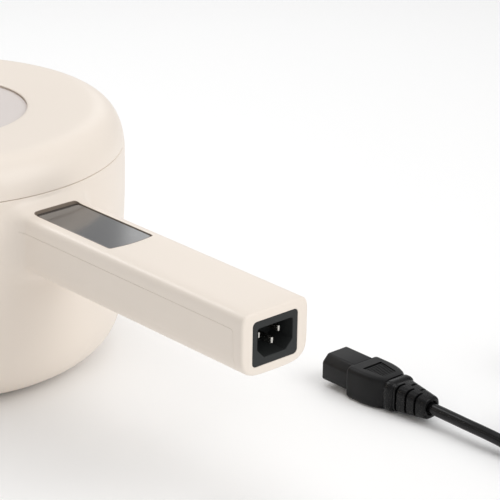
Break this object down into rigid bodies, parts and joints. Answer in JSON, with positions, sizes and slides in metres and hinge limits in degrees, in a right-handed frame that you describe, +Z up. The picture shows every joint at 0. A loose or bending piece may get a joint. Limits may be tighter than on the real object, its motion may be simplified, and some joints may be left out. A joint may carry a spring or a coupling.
{
  "type": "electric cooking pot",
  "caption": "Round cream electric cooking pot with a lid, one long handle holding a touch panel and a mains inlet, and a loose mains lead with its connector beside the handle.",
  "frame": {"origin": "on the pot's axis, on the worktop the feet stand on", "axes": "+X along the handle to its end with the mains inlet, +Z up, +Y to the left as seen from the handle's end looking at the pot's back; the loose lead lies on the +Y side"},
  "size_m": [0.5345, 0.3978, 0.1685],
  "materials": {
    "body_shell": "satin cream moulded plastic",
    "seat_ring": "moulded heat-resistant plastic",
    "base_cover": "matt moulded plastic",
    "zinc_screws": "zinc-plated",
    "foot_rubber": "moulded rubber",
    "shield_sheet": "pressed aluminised sheet",
    "post_steel": "turned",
    "cast_aluminium": "die cast, face machined",
    "plate_screws": "zinc-plated",
    "element_sheath": "heat-tinted sheath",
    "fuse_ceramic": "ceramic tube",
    "guide_steel": "drawn sheet",
    "spring_steel": "spring wire",
    "sensor_cap": "drawn aluminium",
    "sensor_bead": "epoxy bead",
    "handle_cover": "satin cream moulded plastic",
    "handle_screws": "zinc-plated",
    "panel_glass": "black-backed glass, polished",
    "display_film": "display with film",
    "board_laminate": "printed circuit board",
    "chip_resin": "moulded resin",
    "power_laminate": "printed circuit board",
    "relay_case": "moulded case",
    "capacitor_sleeve": "sleeved cans",
    "inlet_plastic": "fine-grained moulded plastic",
    "pin_nickel": "nickel-plated brass",
    "wire_sleeve": "silicone-sleeved wires",
    "pot_coating": "aluminium with dark non-stick coating",
    "lid_plastic": "satin cream moulded plastic",
    "inset_disc": "matt greyish disc",
    "liner_steel": "pressed steel",
    "liner_screws": "stainless",
    "seal_silicone": "silicone",
    "knob_plastic": "satin cream moulded plastic",
    "knob_screw": "stainless",
    "knob_washer": "stainless",
    "vent_plastic": "satin cream moulded plastic",
    "vent_silicone": "silicone",
    "connector_pvc": "satin black moulded plastic",
    "contact_brass": "formed brass",
    "relief_pvc": "flexible black plastic",
    "cord_sheath": "smooth black sheath",
    "coil_sheath": "smooth black sheath",
    "tie_strap": "soft black strap",
    "tail_sheath": "smooth black sheath",
    "plug_relief_pvc": "flexible black plastic",
    "plug_pvc": "satin black moulded plastic",
    "plug_pin_nickel": "nickel-plated brass"
  },
  "bodies": {
    "base": {"outer_shell": "body_shell", "pot_seat_ring": "seat_ring", "base_cover": "base_cover", "base_screws": "zinc_screws", "feet": "foot_rubber", "heat_shield": "shield_sheet", "shield_posts": "post_steel", "heating_plate": "cast_aluminium", "plate_screws": "plate_screws", "heating_element": "element_sheath", "thermal_fuse": "fuse_ceramic", "sensor_guide": "guide_steel", "sensor_spring": "spring_steel", "handle_lower_cover": "handle_cover", "handle_screws": "handle_screws", "touch_glass": "panel_glass", "display_module": "display_film", "control_board": "board_laminate", "control_chips": "chip_resin", "power_board": "power_laminate", "power_relay": "relay_case", "power_capacitors": "capacitor_sleeve", "inlet_body": "inlet_plastic", "inlet_pins": "pin_nickel", "wire_harness": "wire_sleeve"},
    "sensor": {"sensor_cap": "sensor_cap", "sensor_bead": "sensor_bead"},
    "pot": {"inner_pot": "pot_coating"},
    "lid": {"lid_shell": "lid_plastic", "lid_inset_disc": "inset_disc", "lid_liner": "liner_steel", "liner_screws": "liner_screws", "lid_seal": "seal_silicone", "lid_knob": "knob_plastic", "knob_screw": "knob_screw", "knob_washer": "knob_washer", "steam_vent_cap": "vent_plastic", "vent_grommet": "vent_silicone"},
    "mains_lead": {"connector_body": "connector_pvc", "connector_contacts": "contact_brass", "connector_strain_relief": "relief_pvc", "lead_run": "cord_sheath", "lead_coil": "coil_sheath", "lead_tie": "tie_strap", "lead_tail": "tail_sheath", "plug_strain_relief": "plug_relief_pvc", "plug_body": "plug_pvc", "plug_pins": "plug_pin_nickel"}
  },
  "joints": [
    {"name": "sensor_plunge", "type": "slide", "parent": "base", "child": "sensor", "axis": [0, 0, 1], "range_m": [-0.003, 0], "stiffness_N_per_m": 300, "springref_m": 0.004, "deforming": ["sensor_spring"]},
    {"name": "pot_lift", "type": "slide", "parent": "base", "child": "pot", "axis": [0, 0, 1], "range_m": [0, 0.12]},
    {"name": "lid_lift", "type": "slide", "parent": "pot", "child": "lid", "axis": [0, 0, 1], "range_m": [0, 0.08]},
    {"name": "lead_draw", "type": "slide", "parent": "base", "child": "mains_lead", "axis": [1, 0, 0], "range_m": [0, 0.1]}
  ]
}
